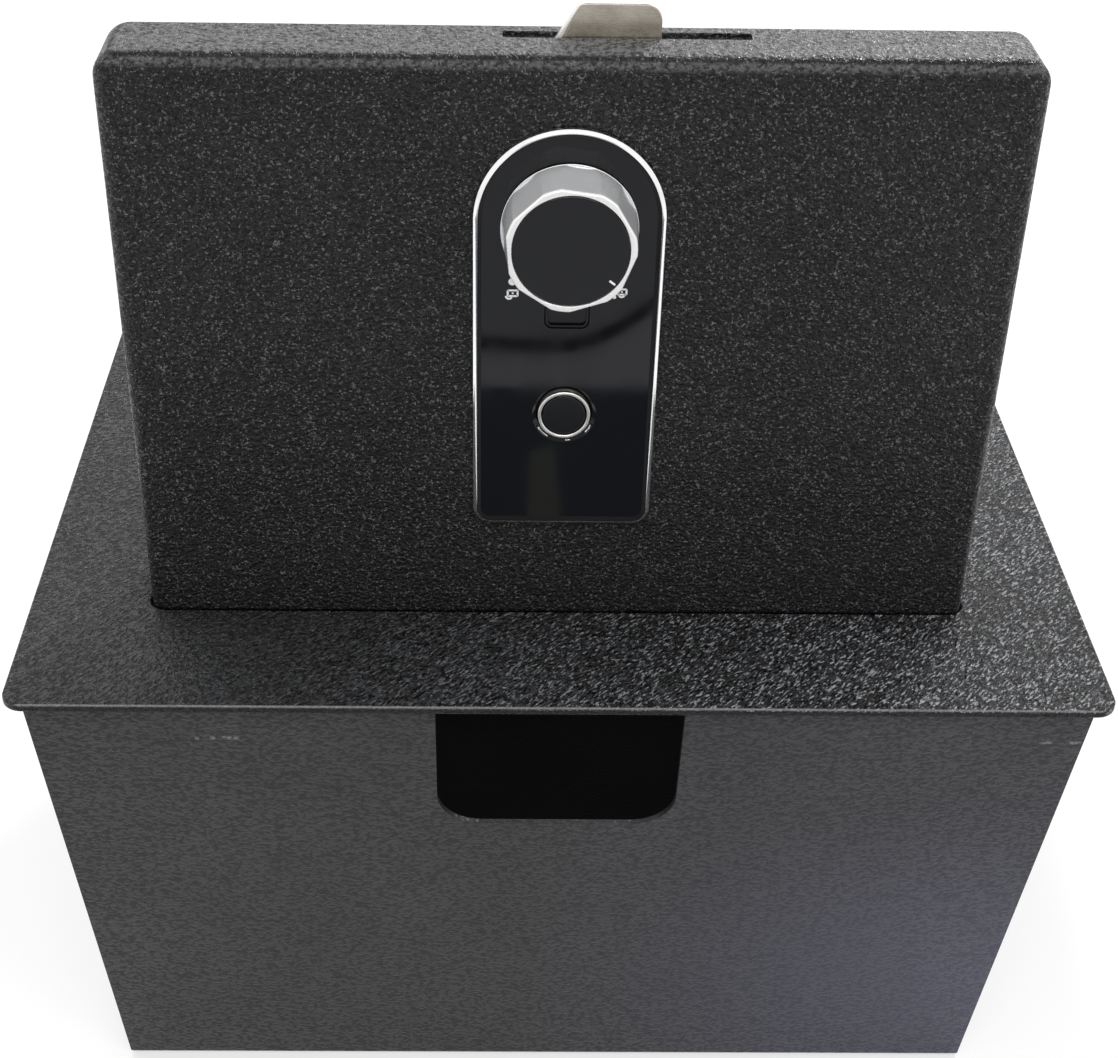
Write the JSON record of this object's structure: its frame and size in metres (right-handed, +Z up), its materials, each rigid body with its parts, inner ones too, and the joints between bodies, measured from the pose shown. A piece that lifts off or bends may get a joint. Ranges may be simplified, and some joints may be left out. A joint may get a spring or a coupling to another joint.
{
  "type": "console safe",
  "caption": "Tapered steel box under an overhanging rim plate; inset hinged lid with arched lock panel, turning knob, fingerprint reader, power port and swinging tongue; shown open.",
  "frame": {"origin": "floor level, under the centre of the top plate", "axes": "+X to the right and +Y to the back as seen from the hinge side, +Z up"},
  "size_m": [0.311, 0.2496, 0.3561],
  "materials": {
    "powder_coat": "coarse textured black powder coat",
    "gloss_black": "piano black",
    "chrome": "polished",
    "satin_metal": "satin",
    "nickel_steel": "satin nickel",
    "zinc_steel": "zinc plated",
    "matt_plastic": "fine moulded grain",
    "circuit_board": "solder mask",
    "battery_jacket": "satin sleeve",
    "brass": "satin",
    "rubber": "matt",
    "foam": "soft lining"
  },
  "bodies": {
    "base": {"top_plate": "powder_coat", "body_wrap": "powder_coat", "side_panel_left": "powder_coat", "side_panel_right": "powder_coat", "floor_mat": "foam", "keeper_angle": "powder_coat", "lid_rest_left": "powder_coat", "lid_rest_right": "powder_coat", "rest_bumper_left": "rubber", "rest_bumper_right": "rubber", "hinge_rail": "powder_coat", "hinge_fixed_leaf": "powder_coat", "hinge_pin": "zinc_steel", "rail_rivet_1": "zinc_steel", "rail_rivet_2": "zinc_steel", "rail_rivet_3": "zinc_steel"},
    "lid": {"lid_shell": "powder_coat", "hinge_moving_leaf": "powder_coat", "lid_rivet_1": "zinc_steel", "lid_rivet_2": "zinc_steel", "lid_rivet_3": "zinc_steel", "lock_bezel": "chrome", "lock_faceplate": "gloss_black", "fingerprint_ring": "chrome", "fingerprint_sensor": "gloss_black", "power_port": "matt_plastic", "lock_housing": "matt_plastic", "housing_screw_lower_left": "zinc_steel", "housing_screw_upper_left": "zinc_steel", "housing_screw_lower_right": "zinc_steel", "housing_screw_upper_right": "zinc_steel", "circuit_board": "circuit_board", "solenoid": "zinc_steel", "contact_plate_lower": "brass", "contact_plate_upper": "brass", "battery_cell_1": "battery_jacket", "battery_cell_2": "battery_jacket", "battery_cell_3": "battery_jacket", "battery_cell_4": "battery_jacket"},
    "knob": {"knob_ring": "satin_metal", "knob_spindle": "zinc_steel", "blocking_disc": "zinc_steel", "lock_tongue": "nickel_steel", "tongue_washer": "zinc_steel", "tongue_nut": "zinc_steel"},
    "cap": {"knob_cap": "gloss_black"},
    "key": {"key_plug": "brass"},
    "blocker": {"plunger": "zinc_steel"},
    "cover": {"battery_cover": "matt_plastic"}
  },
  "joints": [
    {"name": "lid_hinge", "type": "hinge", "parent": "base", "child": "lid", "pos_m": [0, -0.07411, 0.1764], "axis": [1, 0, 0], "range_deg": [-90, 0]},
    {"name": "knob_turn", "type": "hinge", "parent": "lid", "child": "knob", "pos_m": [0, -0.07871, 0.3033], "axis": [0, 1, 0], "range_deg": [0, 90]},
    {"name": "key_turn", "type": "hinge", "parent": "knob", "child": "key", "pos_m": [0, -0.07871, 0.3033], "axis": [0, 1, 0], "range_deg": [0, 90]},
    {"name": "cap_pull", "type": "slide", "parent": "knob", "child": "cap", "axis": [0, -1, 0], "range_m": [0, 0.02]},
    {"name": "plunger_travel", "type": "slide", "parent": "lid", "child": "blocker", "axis": [1, 0, 0], "range_m": [0, 0.0032]},
    {"name": "cover_lift", "type": "slide", "parent": "lid", "child": "cover", "axis": [0, 1, 0], "range_m": [0, 0.015]}
  ]
}
